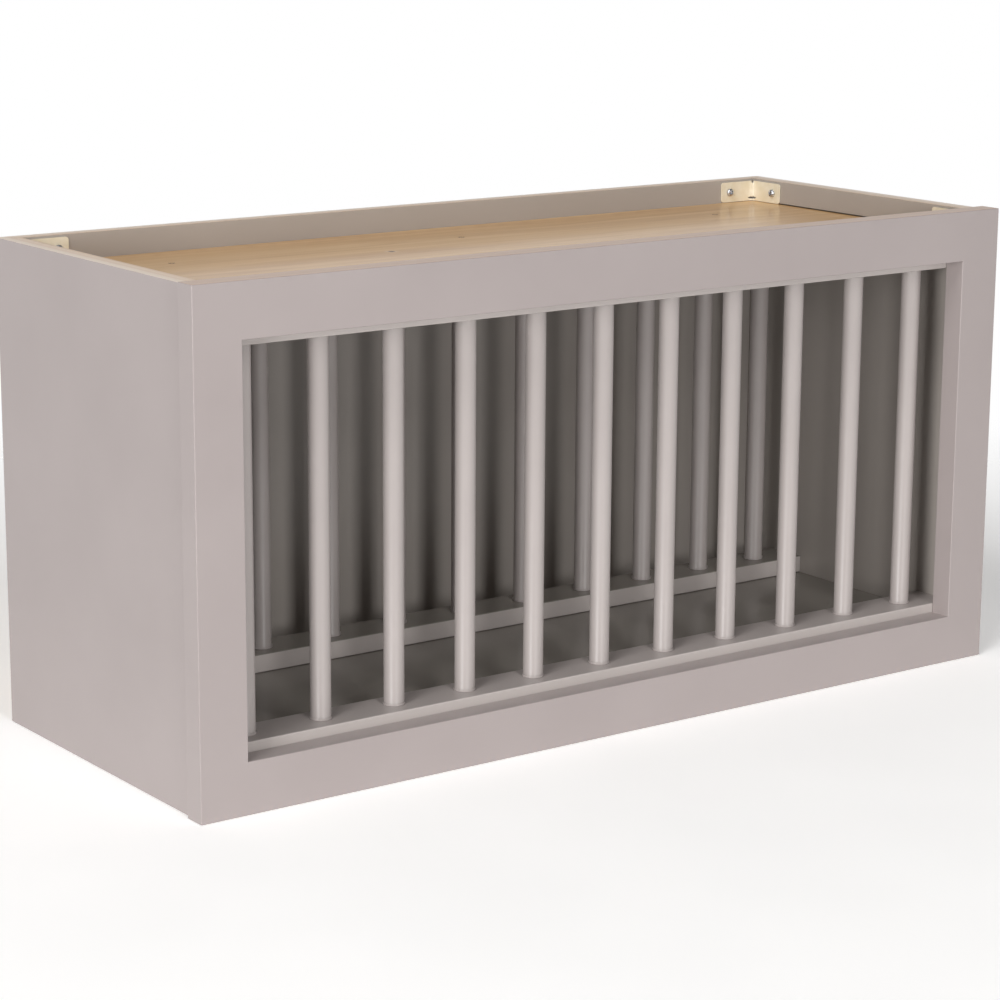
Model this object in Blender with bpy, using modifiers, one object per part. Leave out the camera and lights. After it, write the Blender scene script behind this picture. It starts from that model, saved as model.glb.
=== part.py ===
"""Kitchen plate rack: a wall box with a face frame and two rows of fixed dowels.

The box is cut from sheet. Its side panels are housed for the top panel and the bottom
panel, and rabbeted for the back board. A glued face frame closes the front. Behind the
frame, and again near the back, a row of dowels stands in blind bores between a bottom
dowel rail and a top dowel rail. Plates stand on edge in the gaps between the dowels.

Units are metres. X runs along the width, Y from the front to the back, and Z up. The
origin is under the middle of the rack, on the surface that it stands on.
"""

import math

import bmesh
import bpy
from mathutils import Matrix, Vector

# Outer size of the rack
FRAME_WIDTH = 0.762
FRAME_HEIGHT = 0.381
RACK_DEPTH = 0.29845

# Face frame
FRAME_THICKNESS = 0.01905
STILE_WIDTH = 0.039
TOP_MEMBER_WIDTH = 0.041
BOTTOM_MEMBER_WIDTH = 0.0394
FRAME_OVERHANG = 0.0032
TENON_LENGTH = 0.012
TENON_THICKNESS = 0.0064
TENON_SHOULDER = 0.008

# Sheet of the box
SIDE_THICKNESS = 0.0159
SIDE_DROP = 0.0013
SHELF_THICKNESS = 0.0127
TOP_RECESS = 0.0211
BOTTOM_RECESS = 0.01925
BACK_BOARD_THICKNESS = 0.0127
HOUSING_DEPTH = 0.005
RABBET_DEPTH = 0.006

# Dowels and the rails that hold them
DOWELS_IN_ROW = 11
DOWEL_RADIUS = 0.00775
DOWEL_SIDES = 24
DOWEL_CHAMFER = 0.0006
BORE_DEPTH = 0.00635
END_DOWEL_MARGIN = 0.0403
DOWEL_RAIL_WIDTH = 0.0381
DOWEL_RAIL_THICKNESS = 0.0147
SPACE_BEHIND_REAR_RAIL = 0.0403

# Corner brackets, folded from painted steel strip
BRACKET_WING = 0.0381
BRACKET_HEIGHT = 0.0178
BRACKET_THICKNESS = 0.0015
BRACKET_FOLD = 0.006
BRACKET_CORNER_RADIUS = 0.003
BRACKET_CORNER_SEGMENTS = 4
BRACKET_HOLE_MARGIN = 0.0098

# Screws
SCREW_SIDES = 12
SHANK_RADIUS = 0.0016
POINT_LENGTH = 0.002
PAN_HEAD_RADIUS = 0.0039
PAN_HEAD_HEIGHT = 0.0022
PAN_SHOULDER_SHARE = 0.45
PAN_CROWN_RADIUS_SHARE = 0.55
BRACKET_SCREW_LENGTH = 0.0105
FLAT_HEAD_RADIUS = 0.0035
FLAT_HEAD_RIM = 0.0004
FLAT_HEAD_HEIGHT = 0.0024
RAIL_SCREW_LENGTH = 0.0185
RAIL_SCREW_MARGIN = 0.0939

# Fits and edges
CLEARANCE = 0.0003
OVERRUN = 0.002
FRAME_EASING = 0.0008
RAIL_EASING = 0.0008
SHEET_EASING = 0.0004
MERGE_DISTANCE = 0.00002
SMOOTH_ANGLE = math.radians(40)

# Planes worked out from the sizes above
FRAME_FRONT = -RACK_DEPTH / 2
FRAME_BACK = FRAME_FRONT + FRAME_THICKNESS
BOX_FRONT = FRAME_BACK + CLEARANCE
BOX_BACK = RACK_DEPTH / 2
SIDE_OUTER = FRAME_WIDTH / 2 - FRAME_OVERHANG
SIDE_INNER = SIDE_OUTER - SIDE_THICKNESS
SIDE_TOP = FRAME_HEIGHT - SIDE_DROP
BACK_BOARD_FRONT = BOX_BACK - BACK_BOARD_THICKNESS
TOP_PANEL_UPPER = FRAME_HEIGHT - TOP_RECESS
TOP_PANEL_LOWER = TOP_PANEL_UPPER - SHELF_THICKNESS
BOTTOM_PANEL_LOWER = BOTTOM_RECESS
BOTTOM_PANEL_UPPER = BOTTOM_PANEL_LOWER + SHELF_THICKNESS
FRONT_ROW_Y = BOX_FRONT + DOWEL_RAIL_WIDTH / 2
REAR_ROW_Y = BACK_BOARD_FRONT - SPACE_BEHIND_REAR_RAIL - DOWEL_RAIL_WIDTH / 2
LOWER_RAIL_TOP = BOTTOM_PANEL_UPPER + CLEARANCE + DOWEL_RAIL_THICKNESS
UPPER_RAIL_BOTTOM = TOP_PANEL_LOWER - CLEARANCE - DOWEL_RAIL_THICKNESS
END_DOWEL_X = SIDE_INNER - END_DOWEL_MARGIN
DOWEL_PITCH = 2 * END_DOWEL_X / (DOWELS_IN_ROW - 1)
DOWEL_XS = [-END_DOWEL_X + DOWEL_PITCH * place for place in range(DOWELS_IN_ROW)]
ROW_YS = [FRONT_ROW_Y, REAR_ROW_Y]
END_SCREW_X = SIDE_INNER - RAIL_SCREW_MARGIN
TOP_SCREW_XS = [-END_SCREW_X, 0, END_SCREW_X]
BOTTOM_SCREW_XS = [-END_SCREW_X, END_SCREW_X]
TOP_SCREW_PLACES = [(x, y) for y in ROW_YS for x in TOP_SCREW_XS]
BOTTOM_SCREW_PLACES = [(x, y) for y in ROW_YS for x in BOTTOM_SCREW_XS]
BRACKET_BASE = TOP_PANEL_UPPER + CLEARANCE
BRACKET_SCREW_Z = BRACKET_BASE + BRACKET_HEIGHT / 2
BRACKET_SCREW_REACH = BRACKET_WING - BRACKET_HOLE_MARGIN
SCREW_HOLE_RADIUS = SHANK_RADIUS + CLEARANCE


def clear_scene():
    """Remove what the open file holds."""
    for thing in list(bpy.data.objects):
        bpy.data.objects.remove(thing, do_unlink=True)


def make_collection(name):
    """Add a collection under the scene."""
    collection = bpy.data.collections.new(name)
    bpy.context.scene.collection.children.link(collection)
    return collection


def make_material(name, colour, roughness, metallic=0.0):
    """Make a Principled material from a linear colour."""
    material = bpy.data.materials.new(name)
    material.use_nodes = True
    shader = material.node_tree.nodes["Principled BSDF"]
    shader.inputs["Base Color"].default_value = (*colour, 1.0)
    shader.inputs["Roughness"].default_value = roughness
    shader.inputs["Metallic"].default_value = metallic
    material.diffuse_color = (*colour, 1.0)
    return material


clear_scene()
PARTS = make_collection("plate_rack")
CUTTERS = make_collection("cutters")

PAINT = make_material("taupe_paint", (0.50, 0.46, 0.44), 0.35)
LINING = make_material("grey_lining", (0.19, 0.18, 0.16), 0.4)
BIRCH = make_material("bare_birch_ply", (0.52, 0.38, 0.25), 0.6)
CREAM = make_material("cream_enamel", (0.80, 0.68, 0.44), 0.35)
ZINC = make_material("zinc_plated_steel", (0.62, 0.63, 0.65), 0.3, 1.0)

RACK = bpy.data.objects.new("plate_rack_origin", None)
PARTS.objects.link(RACK)


def file_part(thing, name, material):
    """Name a finished piece, give it its material and file it with the parts."""
    thing.name = name
    thing.data.materials.clear()
    thing.data.materials.append(material)
    for collection in list(thing.users_collection):
        collection.objects.unlink(thing)
    PARTS.objects.link(thing)
    thing.parent = RACK
    return thing


def file_cutter(thing, name):
    """Name a cutter, hide it and file it with the cutters."""
    thing.name = name
    for collection in list(thing.users_collection):
        collection.objects.unlink(thing)
    CUTTERS.objects.link(thing)
    thing.hide_render = True
    thing.display_type = "WIRE"
    return thing


def add_box(low, high):
    """Add a cube primitive that fills the space between two corners."""
    low = Vector(low)
    high = Vector(high)
    bpy.ops.mesh.primitive_cube_add(size=1, location=(low + high) / 2)
    box = bpy.context.object
    box.scale = high - low
    bpy.ops.object.transform_apply(location=False, rotation=False, scale=True)
    return box


def ease_edges(thing, width, segments=1):
    """Break the sharp edges of a piece."""
    bevel = thing.modifiers.new("eased_edges", "BEVEL")
    bevel.width = width
    bevel.segments = segments
    bevel.limit_method = "ANGLE"
    return thing


def cut(thing, cutter):
    """Cut one mesh away from another."""
    boolean = thing.modifiers.new(cutter.name, "BOOLEAN")
    boolean.operation = "DIFFERENCE"
    boolean.solver = "EXACT"
    boolean.object = cutter
    return thing


def join_on(thing, addition):
    """Unite one mesh with another."""
    boolean = thing.modifiers.new(addition.name, "BOOLEAN")
    boolean.operation = "UNION"
    boolean.solver = "EXACT"
    boolean.object = addition
    return thing


def box_cutter(name, low, high):
    """Make a cutter that fills the space between two corners."""
    return file_cutter(add_box(low, high), name)


def drill_cutter(name, holes, radius, sides):
    """Make one cutter of straight holes, each given by where it starts and ends."""
    shapes = bmesh.new()
    for start, end in holes:
        start = Vector(start)
        run = Vector(end) - start
        turn = Vector((0, 0, 1)).rotation_difference(run).to_matrix().to_4x4()
        bmesh.ops.create_cone(
            shapes,
            cap_ends=True,
            segments=sides,
            radius1=radius,
            radius2=radius,
            depth=run.length,
            matrix=Matrix.Translation(start + run / 2) @ turn,
        )
    mesh = bpy.data.meshes.new(name)
    shapes.to_mesh(mesh)
    shapes.free()
    cutter = bpy.data.objects.new(name, mesh)
    bpy.context.scene.collection.objects.link(cutter)
    return file_cutter(cutter, name)


def turn_profile(name, profile):
    """Turn a profile, given from its top to its bottom, about the Z axis."""
    mesh = bpy.data.meshes.new(name)
    points = [(radius, 0, height) for radius, height in profile]
    edges = [(place, place + 1) for place in range(len(points) - 1)]
    mesh.from_pydata(points, edges, [])
    turned = bpy.data.objects.new(name, mesh)
    bpy.context.scene.collection.objects.link(turned)
    turning = turned.modifiers.new("turned", "SCREW")
    turning.steps = SCREW_SIDES
    turning.render_steps = SCREW_SIDES
    turning.use_merge_vertices = True
    turning.merge_threshold = MERGE_DISTANCE
    evaluated = turned.evaluated_get(bpy.context.evaluated_depsgraph_get())
    solid = bpy.data.meshes.new_from_object(evaluated)
    bpy.data.objects.remove(turned, do_unlink=True)
    solid.shade_smooth()
    solid.set_sharp_from_angle(angle=SMOOTH_ANGLE)
    return solid


def set_turned(mesh, seat, way):
    """Place a turned shape with its lower end pointing along a direction."""
    thing = bpy.data.objects.new(mesh.name, mesh)
    bpy.context.scene.collection.objects.link(thing)
    thing.location = seat
    thing.rotation_euler = Vector((0, 0, -1)).rotation_difference(way).to_euler()
    return thing


def bracket_places():
    """Give each bracket's name, its inner corner and its turn about Z."""
    inner_x = SIDE_INNER - CLEARANCE
    return [
        ("front_left_bracket", (-inner_x, BOX_FRONT), 0),
        ("front_right_bracket", (inner_x, BOX_FRONT), math.pi / 2),
        ("rear_right_bracket", (inner_x, BACK_BOARD_FRONT - CLEARANCE), math.pi),
        ("rear_left_bracket", (-inner_x, BACK_BOARD_FRONT - CLEARANCE), -math.pi / 2),
    ]


def bracket_screw_places():
    """Give where each bracket screw's seat lies, and the way that it points."""
    places = []
    for name, corner, turn in bracket_places():
        rotation = Matrix.Rotation(turn, 3, "Z")
        base = Vector((corner[0], corner[1], BRACKET_SCREW_Z))
        along_x = rotation @ Vector((BRACKET_SCREW_REACH, BRACKET_THICKNESS, 0))
        along_y = rotation @ Vector((BRACKET_THICKNESS, BRACKET_SCREW_REACH, 0))
        places.append((base + along_x, rotation @ Vector((0, -1, 0))))
        places.append((base + along_y, rotation @ Vector((-1, 0, 0))))
    return places


def bracket_pilot_holes():
    """Make the holes that the bracket screws need in brackets, panels and frame."""
    holes = []
    for seat, way in bracket_screw_places():
        end = seat + way * (BRACKET_SCREW_LENGTH + CLEARANCE)
        holes.append((seat - way * OVERRUN, end))
    return drill_cutter("bracket_pilot_holes", holes, SCREW_HOLE_RADIUS, SCREW_SIDES)


BRACKET_PILOTS = bracket_pilot_holes()


def make_side_panel(name, side):
    """Make a side panel, housed for the shelves and rabbeted for the back board."""
    inner = side * SIDE_INNER
    outer = side * SIDE_OUTER
    panel = add_box(
        (min(inner, outer), BOX_FRONT, 0),
        (max(inner, outer), BOX_BACK, SIDE_TOP),
    )
    ease_edges(panel, SHEET_EASING)
    open_face = inner - side * OVERRUN
    housing_floor = inner + side * HOUSING_DEPTH
    rabbet_floor = inner + side * RABBET_DEPTH
    housings = [
        ("top_housing", TOP_PANEL_LOWER, TOP_PANEL_UPPER),
        ("bottom_housing", BOTTOM_PANEL_LOWER, BOTTOM_PANEL_UPPER),
    ]
    for label, lower, upper in housings:
        housing = box_cutter(
            name + "_" + label,
            (min(open_face, housing_floor), BOX_FRONT - OVERRUN, lower - CLEARANCE),
            (max(open_face, housing_floor), BACK_BOARD_FRONT, upper + CLEARANCE),
        )
        cut(panel, housing)
    rabbet = box_cutter(
        name + "_rabbet",
        (min(open_face, rabbet_floor), BACK_BOARD_FRONT - CLEARANCE, -OVERRUN),
        (max(open_face, rabbet_floor), BOX_BACK + OVERRUN, SIDE_TOP + OVERRUN),
    )
    cut(panel, rabbet)
    cut(panel, BRACKET_PILOTS)
    return file_part(panel, name, PAINT)


def shelf_screw_holes(name, places, face, inward):
    """Make the countersunk holes for the screws from a shelf into its dowel rails."""
    head = FLAT_HEAD_RADIUS + CLEARANCE
    tip = -RAIL_SCREW_LENGTH - CLEARANCE
    profile = [
        (0, OVERRUN),
        (head, OVERRUN),
        (head, -FLAT_HEAD_RIM - CLEARANCE),
        (SCREW_HOLE_RADIUS, -FLAT_HEAD_HEIGHT - CLEARANCE),
        (SCREW_HOLE_RADIUS, tip),
        (0, tip),
    ]
    mesh = turn_profile(name, profile)
    way = Vector((0, 0, inward))
    holes = [set_turned(mesh, Vector((x, y, face)), way) for x, y in places]
    bpy.ops.object.select_all(action="DESELECT")
    for hole in holes:
        hole.select_set(True)
    bpy.context.view_layer.objects.active = holes[0]
    bpy.ops.object.join()
    return file_cutter(bpy.context.object, name)


def make_shelf(name, lower, upper, material, screw_holes):
    """Make the top or the bottom panel, which ends in the side panels' housings."""
    reach = SIDE_INNER + HOUSING_DEPTH - CLEARANCE
    shelf = add_box(
        (-reach, BOX_FRONT, lower),
        (reach, BACK_BOARD_FRONT - CLEARANCE, upper),
    )
    ease_edges(shelf, SHEET_EASING)
    cut(shelf, screw_holes)
    return file_part(shelf, name, material)


def make_back_board():
    """Make the board that hangs the rack on the wall."""
    reach = SIDE_INNER + RABBET_DEPTH - CLEARANCE
    board = add_box((-reach, BACK_BOARD_FRONT, 0), (reach, BOX_BACK, SIDE_TOP))
    ease_edges(board, SHEET_EASING)
    cut(board, BRACKET_PILOTS)
    return file_part(board, "back_board", LINING)


def member_tenon(name, side, lower, upper, extra):
    """Make a tenon on the end of a frame rail, or with extra room the mortise for it."""
    shoulder = side * (FRAME_WIDTH / 2 - STILE_WIDTH)
    root = shoulder - side * (OVERRUN + extra)
    tip = shoulder + side * (TENON_LENGTH + extra)
    middle = FRAME_FRONT + FRAME_THICKNESS / 2
    half = TENON_THICKNESS / 2 + extra
    low = (min(root, tip), middle - half, lower + TENON_SHOULDER - extra)
    high = (max(root, tip), middle + half, upper - TENON_SHOULDER + extra)
    return box_cutter(name, low, high)


def frame_members():
    """Give the name and the height range of each frame rail."""
    return [
        ("frame_bottom_rail", 0, BOTTOM_MEMBER_WIDTH),
        ("frame_top_rail", FRAME_HEIGHT - TOP_MEMBER_WIDTH, FRAME_HEIGHT),
    ]


def make_frame_rail(name, lower, upper):
    """Make a frame rail with a tenon on each end."""
    reach = FRAME_WIDTH / 2 - STILE_WIDTH - CLEARANCE
    rail = add_box((-reach, FRAME_FRONT, lower), (reach, FRAME_BACK, upper))
    ease_edges(rail, FRAME_EASING)
    for side, label in ((-1, "left"), (1, "right")):
        join_on(rail, member_tenon(f"{name}_{label}_tenon", side, lower, upper, 0))
    cut(rail, BRACKET_PILOTS)
    return file_part(rail, name, PAINT)


def make_stile(name, side):
    """Make a stile with a mortise for each frame rail."""
    inner = side * (FRAME_WIDTH / 2 - STILE_WIDTH)
    outer = side * FRAME_WIDTH / 2
    stile = add_box(
        (min(inner, outer), FRAME_FRONT, 0),
        (max(inner, outer), FRAME_BACK, FRAME_HEIGHT),
    )
    ease_edges(stile, FRAME_EASING)
    for member, lower, upper in frame_members():
        mortise = member_tenon(f"{name}_{member}_mortise", side, lower, upper, CLEARANCE)
        cut(stile, mortise)
    cut(stile, BRACKET_PILOTS)
    return file_part(stile, name, PAINT)


def make_dowel_rail(name, centre_y, lower, bored_face, inward, screw_holes):
    """Make a dowel rail with a row of blind bores in one face."""
    reach = SIDE_INNER - CLEARANCE
    half = DOWEL_RAIL_WIDTH / 2
    rail = add_box(
        (-reach, centre_y - half, lower),
        (reach, centre_y + half, lower + DOWEL_RAIL_THICKNESS),
    )
    ease_edges(rail, RAIL_EASING)
    bores = []
    for x in DOWEL_XS:
        mouth = (x, centre_y, bored_face - inward * OVERRUN)
        floor = (x, centre_y, bored_face + inward * BORE_DEPTH)
        bores.append((mouth, floor))
    cut(rail, drill_cutter(name + "_bores", bores, DOWEL_RADIUS + CLEARANCE, DOWEL_SIDES))
    cut(rail, screw_holes)
    return file_part(rail, name, PAINT)


def make_dowels(row, centre_y):
    """Stand a row of dowels in their bores."""
    seat = BORE_DEPTH - CLEARANCE
    low = LOWER_RAIL_TOP - seat
    high = UPPER_RAIL_BOTTOM + seat
    mesh = None
    for number, x in enumerate(DOWEL_XS, start=1):
        centre = (x, centre_y, (low + high) / 2)
        if mesh is None:
            bpy.ops.mesh.primitive_cylinder_add(
                vertices=DOWEL_SIDES, radius=DOWEL_RADIUS, depth=high - low, location=centre
            )
            dowel = bpy.context.object
            mesh = dowel.data
            mesh.shade_smooth()
            mesh.set_sharp_from_angle(angle=SMOOTH_ANGLE)
        else:
            dowel = bpy.data.objects.new("dowel", mesh)
            dowel.location = centre
            bpy.context.scene.collection.objects.link(dowel)
        ease_edges(dowel, DOWEL_CHAMFER)
        file_part(dowel, f"{row}_dowel_{number:02d}", PAINT)


def bracket_plan():
    """Give the outline of a folded bracket seen from above, from its inner corner."""
    wing = BRACKET_WING
    wall = BRACKET_THICKNESS
    fold = BRACKET_FOLD
    inner_fold = fold + wall * math.tan(math.pi / 8)
    return [
        (wing, 0),
        (wing, wall),
        (inner_fold, wall),
        (wall, inner_fold),
        (wall, wing),
        (0, wing),
        (0, fold),
        (fold, 0),
    ]


def make_brackets():
    """Fold the four corner brackets, round their free corners and drill them."""
    shape = bmesh.new()
    outline = [shape.verts.new((x, y, 0)) for x, y in bracket_plan()]
    base = shape.faces.new(outline)
    lifted = bmesh.ops.extrude_face_region(shape, geom=[base])
    raised = [item for item in lifted["geom"] if isinstance(item, bmesh.types.BMVert)]
    bmesh.ops.translate(shape, verts=raised, vec=(0, 0, BRACKET_HEIGHT))
    ends = []
    for edge in shape.edges:
        first, second = (vert.co for vert in edge.verts)
        flat = abs(first.z - second.z) < MERGE_DISTANCE
        at_end = min(max(first.x, first.y), max(second.x, second.y)) > BRACKET_WING - MERGE_DISTANCE
        if flat and at_end:
            ends.append(edge)
    bmesh.ops.bevel(
        shape,
        geom=ends,
        offset=BRACKET_CORNER_RADIUS,
        segments=BRACKET_CORNER_SEGMENTS,
        profile=0.5,
        affect="EDGES",
    )
    bmesh.ops.recalc_face_normals(shape, faces=shape.faces)
    mesh = bpy.data.meshes.new("bracket")
    shape.to_mesh(mesh)
    shape.free()
    for name, corner, turn in bracket_places():
        bracket = bpy.data.objects.new(name, mesh.copy())
        bpy.context.scene.collection.objects.link(bracket)
        bracket.location = (corner[0], corner[1], BRACKET_BASE)
        bracket.rotation_euler.z = turn
        cut(bracket, BRACKET_PILOTS)
        file_part(bracket, name, CREAM)


def shank_profile(length):
    """Give the lower end of a screw's profile, from the shank to the point."""
    return [(SHANK_RADIUS, POINT_LENGTH - length), (0, -length)]


def make_bracket_screws():
    """Drive a pan head screw through each wing of each bracket."""
    rim = PAN_HEAD_HEIGHT * PAN_SHOULDER_SHARE
    profile = [
        (0, PAN_HEAD_HEIGHT),
        (PAN_HEAD_RADIUS * PAN_CROWN_RADIUS_SHARE, PAN_HEAD_HEIGHT),
        (PAN_HEAD_RADIUS, rim),
        (PAN_HEAD_RADIUS, 0),
        (SHANK_RADIUS, 0),
    ]
    profile += shank_profile(BRACKET_SCREW_LENGTH)
    mesh = turn_profile("bracket_screw", profile)
    for place, (seat, way) in enumerate(bracket_screw_places()):
        bracket = bracket_places()[place // 2][0]
        screw = set_turned(mesh, seat - way * CLEARANCE, way)
        file_part(screw, f"{bracket}_screw_{place % 2 + 1}", ZINC)


def make_rail_screws(name, places, face, inward):
    """Drive flat head screws through a shelf into the dowel rails on its other side."""
    profile = [
        (0, 0),
        (FLAT_HEAD_RADIUS, 0),
        (FLAT_HEAD_RADIUS, -FLAT_HEAD_RIM),
        (SHANK_RADIUS, -FLAT_HEAD_HEIGHT),
    ]
    profile += shank_profile(RAIL_SCREW_LENGTH)
    mesh = turn_profile(name, profile)
    for number, (x, y) in enumerate(places, start=1):
        screw = set_turned(mesh, Vector((x, y, face)), Vector((0, 0, inward)))
        file_part(screw, f"{name}_{number}", ZINC)


def build_rack():
    """Make every piece of the rack."""
    top_screws = (TOP_SCREW_PLACES, TOP_PANEL_UPPER, -1)
    bottom_screws = (BOTTOM_SCREW_PLACES, BOTTOM_PANEL_LOWER, 1)
    top_holes = shelf_screw_holes("top_screw_holes", *top_screws)
    bottom_holes = shelf_screw_holes("bottom_screw_holes", *bottom_screws)

    make_side_panel("left_side_panel", -1)
    make_side_panel("right_side_panel", 1)
    make_shelf("top_panel", TOP_PANEL_LOWER, TOP_PANEL_UPPER, BIRCH, top_holes)
    make_shelf("bottom_panel", BOTTOM_PANEL_LOWER, BOTTOM_PANEL_UPPER, LINING, bottom_holes)
    make_back_board()

    make_stile("left_stile", -1)
    make_stile("right_stile", 1)
    for name, lower, upper in frame_members():
        make_frame_rail(name, lower, upper)

    for row, centre_y in (("front", FRONT_ROW_Y), ("rear", REAR_ROW_Y)):
        lower = BOTTOM_PANEL_UPPER + CLEARANCE
        make_dowel_rail(
            f"{row}_lower_dowel_rail", centre_y, lower, LOWER_RAIL_TOP, -1, bottom_holes
        )
        make_dowel_rail(
            f"{row}_upper_dowel_rail", centre_y, UPPER_RAIL_BOTTOM, UPPER_RAIL_BOTTOM, 1, top_holes
        )
        make_dowels(row, centre_y)

    make_brackets()
    make_bracket_screws()
    make_rail_screws("upper_rail_screw", *top_screws)
    make_rail_screws("lower_rail_screw", *bottom_screws)


build_rack()
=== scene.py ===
# %% [markdown]
# # A kitchen plate rack, dressed for its photograph
#
# The rack is a shallow wall box with a face frame. Two rows of painted dowels stand in it,
# and plates stand on edge between them. The construction is already made, at its real size.
# This file gives each piece the surface that the real one has: satin lacquer on the frame,
# the sides and the dowels, a darker grey lining inside, clear-coated birch on top, bare
# plywood edges, cream enamelled corner brackets, zinc-plated screws in the brackets and dark
# brown ones in the panels.
#
# Each step has a note and then a short cell of code. Sizes are in metres.

# %% Load the construction
import math

import bmesh
import bpy
from mathutils import Matrix, Vector


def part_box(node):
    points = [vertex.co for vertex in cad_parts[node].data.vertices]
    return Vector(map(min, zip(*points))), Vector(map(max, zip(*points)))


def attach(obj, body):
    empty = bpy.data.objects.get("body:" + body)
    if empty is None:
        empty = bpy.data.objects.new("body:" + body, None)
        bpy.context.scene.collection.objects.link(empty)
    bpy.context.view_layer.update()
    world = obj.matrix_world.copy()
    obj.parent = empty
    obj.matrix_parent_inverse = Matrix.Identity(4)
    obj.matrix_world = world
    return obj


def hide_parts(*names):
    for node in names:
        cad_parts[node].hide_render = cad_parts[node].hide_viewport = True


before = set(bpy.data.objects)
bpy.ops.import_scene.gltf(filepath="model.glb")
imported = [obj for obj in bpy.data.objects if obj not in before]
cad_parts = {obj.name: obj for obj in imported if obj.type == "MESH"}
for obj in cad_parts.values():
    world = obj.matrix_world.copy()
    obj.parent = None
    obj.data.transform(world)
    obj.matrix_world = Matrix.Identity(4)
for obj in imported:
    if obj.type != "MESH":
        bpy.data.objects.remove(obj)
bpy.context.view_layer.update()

# %% [markdown]
# ## Sizes that the pieces share
#
# Nothing is measured twice. The places come from the boxes of the construction's own
# pieces. Only the small things that it leaves out get a size here, such as how round a
# sanded arris is.

# %% Places and sizes
MM = 0.001
stile_low, stile_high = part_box("left_stile")
top_member_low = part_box("frame_top_rail")[0]
bottom_member_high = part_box("frame_bottom_rail")[1]
side_low, side_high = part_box("right_side_panel")
top_low, top_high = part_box("top_panel")
board_low, board_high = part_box("back_board")
bracket_low, bracket_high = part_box("rear_right_bracket")

FRAME_ARRIS = 0.6 * MM
STICK_ARRIS = 1.0 * MM
SHEET_ARRIS = 0.35 * MM
PLY_LAYER = 1.45 * MM
print("opening:", round(-2 * stile_high.x, 4), "wide and",
      round(top_member_low.z - bottom_member_high.z, 4), "high")

# %% [markdown]
# ## The camera
#
# The photograph was taken from the left, a little above the rack, with a long lens. The
# values come from matching the corners of the frame and the feet of the dowels. In the real
# picture the upright lines stay parallel, which takes a strong lens shift. That shift is
# left out, because it would push the rack out of every other view.

# %% Camera
CAMERA_PLACE = Vector((-1.33103, -1.80672, 0.66803))
CAMERA_HEADING = math.radians(36.05)
CAMERA_PITCH = math.radians(-12.85)
CAMERA_ROLL = math.radians(0.34)
LENS = 103.05
SENSOR = 36.0

camera_data = bpy.data.cameras.new("photo_camera")
camera_data.lens = LENS
camera_data.sensor_width = SENSOR
camera = bpy.data.objects.new("photo_camera", camera_data)
bpy.context.scene.collection.objects.link(camera)
turn = Matrix.Rotation(-CAMERA_HEADING, 4, "Z")
tip = Matrix.Rotation(math.radians(90) + CAMERA_PITCH, 4, "X")
roll = Matrix.Rotation(CAMERA_ROLL, 4, "Z")
camera.matrix_world = Matrix.Translation(CAMERA_PLACE) @ turn @ tip @ roll
bpy.context.scene.camera = camera
print("camera stands", round(CAMERA_PLACE.length, 2), "m from the origin")

# %% [markdown]
# ## Light and floor
#
# The rack stands on a plain pale floor in a white studio. Soft lamps stand at the left and
# in front, low and high, so each dowel gets one broad highlight and the inside stays dim.
# The low lamp in front stands a little left of the middle. It throws the dowels' shadows on
# the back board and straight back over the lower rails. The camera sees nothing but white
# round the floor. As a light, the surroundings are almost dark: only the floor's far part
# glows a little, and the low wall behind the rack, which is what lights the birch on top.

# %% Surroundings and lamps
AIM = Vector((0.0, 0.0, 0.19))
SURROUND_STRENGTH = 0.1
FLOOR_GLOW = 0.75
HORIZON = (-0.045, 0.03)
WALL_SPREAD = (0.4, 0.8)
WALL_TOP = (0.35, 0.6)
LAMPS = [
    ("left_softbox", 64, 6, 5.2, (1.4, 1.4), 145.0),
    ("low_front_softbox", 9, 7, 4.4, (0.9, 1.1), 53.0),
    ("high_front_softbox", 9, 35, 5.4, (1.43, 2.06), 71.0),
    ("high_left_softbox", 65, 50, 5.4, (2.2, 2.2), 119.0),
]


def linear(hex_colour):
    """Turn an sRGB hex colour into linear red, green, blue and full alpha."""
    values = [int(hex_colour[place:place + 2], 16) / 255 for place in (1, 3, 5)]
    curve = [v / 12.92 if v <= 0.04045 else ((v + 0.055) / 1.055) ** 2.4 for v in values]
    return (*curve, 1.0)


def add_node(owner, kind, settings=None, links=None):
    """Add a node, set its options or unlinked inputs, and link its other inputs."""
    node = owner.node_tree.nodes.new(kind)
    for key, value in (settings or {}).items():
        if isinstance(key, str) and hasattr(node, key):
            setattr(node, key, value)
        else:
            node.inputs[key].default_value = value
    for key, output in (links or {}).items():
        owner.node_tree.links.new(output, node.inputs[key])
    return node


world = bpy.data.worlds.new("white_studio")
bpy.context.scene.world = world
bpy.context.scene.view_settings.view_transform = "Standard"
world.use_nodes = True
surround = world.node_tree.nodes["Background"]
surround.inputs["Color"].default_value = linear("#FFFFFF")
direction = add_node(world, "ShaderNodeTexCoord").outputs["Generated"]
height = add_node(world, "ShaderNodeSeparateXYZ", links={0: direction}).outputs["Z"]
heading = (math.sin(CAMERA_HEADING), math.cos(CAMERA_HEADING), 0.0)
facing = add_node(world, "ShaderNodeVectorMath", {"operation": "DOT_PRODUCT", 1: heading},
                  {0: direction}).outputs["Value"]


def soft_step(factor, start, end, first, last):
    """Fade softly from one value to another while the factor crosses a range."""
    return add_node(world, "ShaderNodeMapRange",
                    {"interpolation_type": "SMOOTHSTEP", "From Min": start, "From Max": end,
                     "To Min": first, "To Max": last}, {"Value": factor}).outputs["Result"]


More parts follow.
